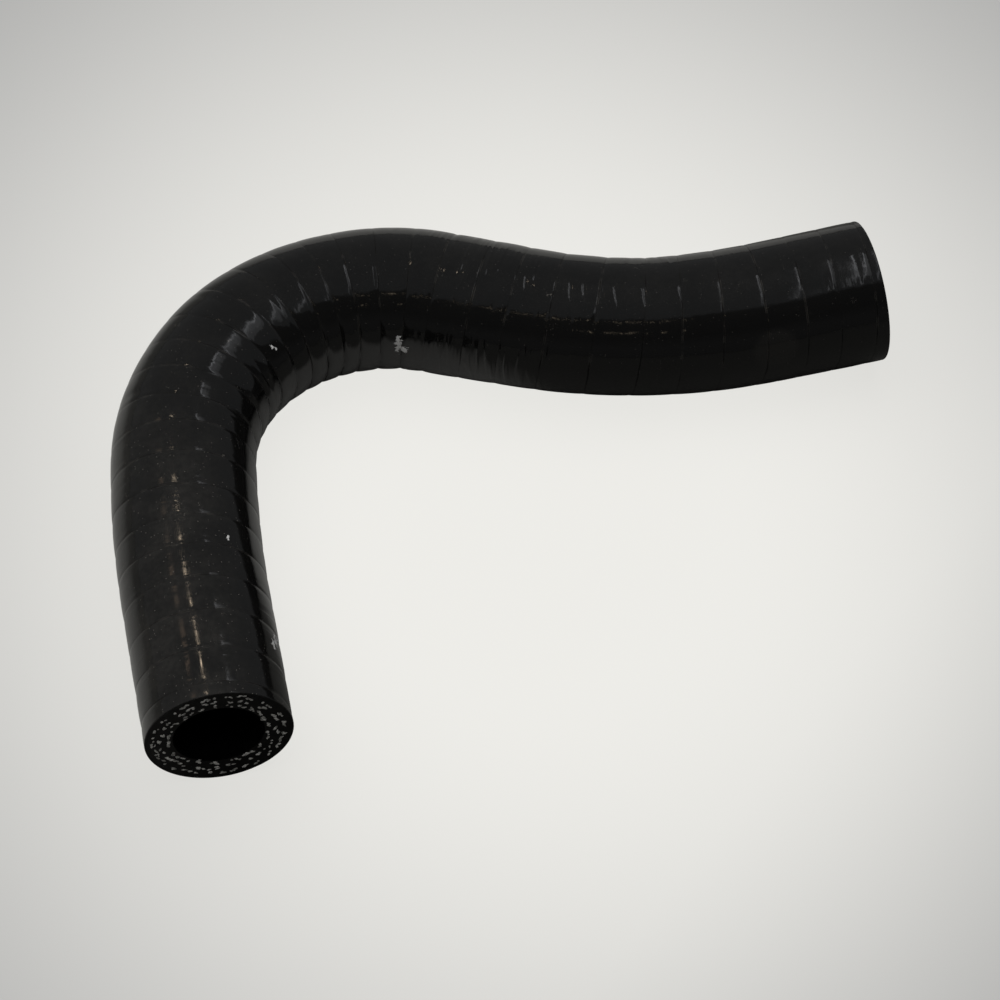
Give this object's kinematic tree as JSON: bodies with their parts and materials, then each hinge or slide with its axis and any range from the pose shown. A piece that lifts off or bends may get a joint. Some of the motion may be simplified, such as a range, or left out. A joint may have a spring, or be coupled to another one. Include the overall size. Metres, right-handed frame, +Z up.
{
  "type": "moulded coolant hose",
  "caption": "Thick-walled moulded rubber hose with a tight elbow and a shallow reverse bend, open bore and square-cut ends, for carrying coolant between pipe stubs.",
  "frame": {"origin": "middle of the hose's footprint, on the surface it lies on", "axes": "+Z up, square to the flat plane that the hose bends in; +Y along the straight near leg, away from the near end, which opens towards -Y; +X to the side that the elbow turns to, so the far end opens towards +X"},
  "size_m": [0.1452, 0.1026, 0.026],
  "materials": {
    "rubber": "glossy black cover with tape laps and light dust, matt black cut ends",
    "yarn": "pale reinforcing yarn, seen only as three rings of cut ends in each cut end"
  },
  "bodies": {
    "root": {"hose": "rubber"}
  },
  "joints": []
}
